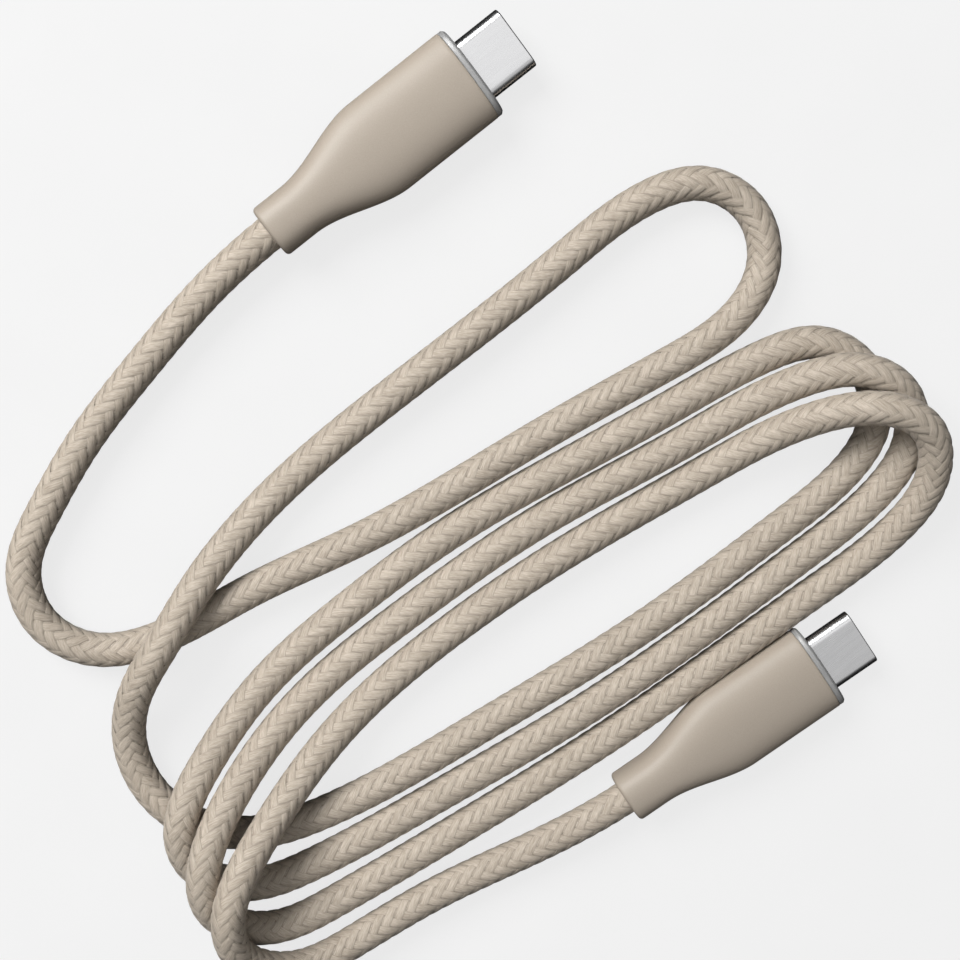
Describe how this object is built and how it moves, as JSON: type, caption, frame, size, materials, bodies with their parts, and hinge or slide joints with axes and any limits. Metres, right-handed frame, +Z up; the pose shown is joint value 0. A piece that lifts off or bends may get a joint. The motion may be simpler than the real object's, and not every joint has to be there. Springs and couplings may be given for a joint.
{
  "type": "usb-c charging cable",
  "caption": "Beige braided USB-C to USB-C charging cable with slim tapered plug housings, laid flat in loose open loops.",
  "frame": {"origin": "on the surface the cable lies on, under the middle of plug A", "axes": "+X along plug A towards its mating tip; +Z up from the surface; +Y across plug A, away from the loops"},
  "size_m": [0.1162, 0.1013, 0.014],
  "materials": {
    "braid": "woven",
    "housing": "satin",
    "collar": "satin",
    "shell": "satin",
    "insulator": "matte",
    "contacts": "polished",
    "spring_steel": "brushed",
    "jacket": "matte",
    "mould": "matte",
    "board": "gloss",
    "chip": "matte",
    "solder": "satin",
    "wire_red": "satin",
    "wire_black": "satin",
    "wire_green": "satin",
    "wire_white": "satin",
    "wire_blue": "satin",
    "brass": "satin"
  },
  "bodies": {
    "root": {"cable_sleeve": "braid", "cable_jacket": "jacket", "wire_vbus": "wire_red", "wire_gnd": "wire_black", "wire_d_plus": "wire_green", "wire_d_minus": "wire_white", "wire_cc": "wire_blue", "plug_a_shell": "shell", "plug_a_collar": "collar", "plug_a_housing": "housing", "plug_a_inner_mould": "mould", "plug_a_ferrule": "brass", "plug_a_shield_top": "spring_steel", "plug_a_shield_bottom": "spring_steel", "plug_a_insulator": "insulator", "plug_a_contacts_top": "contacts", "plug_a_contacts_bottom": "contacts", "plug_a_latch": "spring_steel", "plug_a_emi_spring_top": "spring_steel", "plug_a_emi_spring_bottom": "spring_steel", "plug_a_board": "board", "plug_a_capacitor": "chip", "plug_a_solder": "solder", "plug_a_wire_tails": "wire_white", "plug_b_shell": "shell", "plug_b_collar": "collar", "plug_b_housing": "housing", "plug_b_inner_mould": "mould", "plug_b_ferrule": "brass", "plug_b_shield_top": "spring_steel", "plug_b_shield_bottom": "spring_steel", "plug_b_insulator": "insulator", "plug_b_contacts_top": "contacts", "plug_b_contacts_bottom": "contacts", "plug_b_latch": "spring_steel", "plug_b_emi_spring_top": "spring_steel", "plug_b_emi_spring_bottom": "spring_steel", "plug_b_board": "board", "plug_b_capacitor": "chip", "plug_b_solder": "solder", "plug_b_wire_tails": "wire_white"}
  },
  "joints": []
}
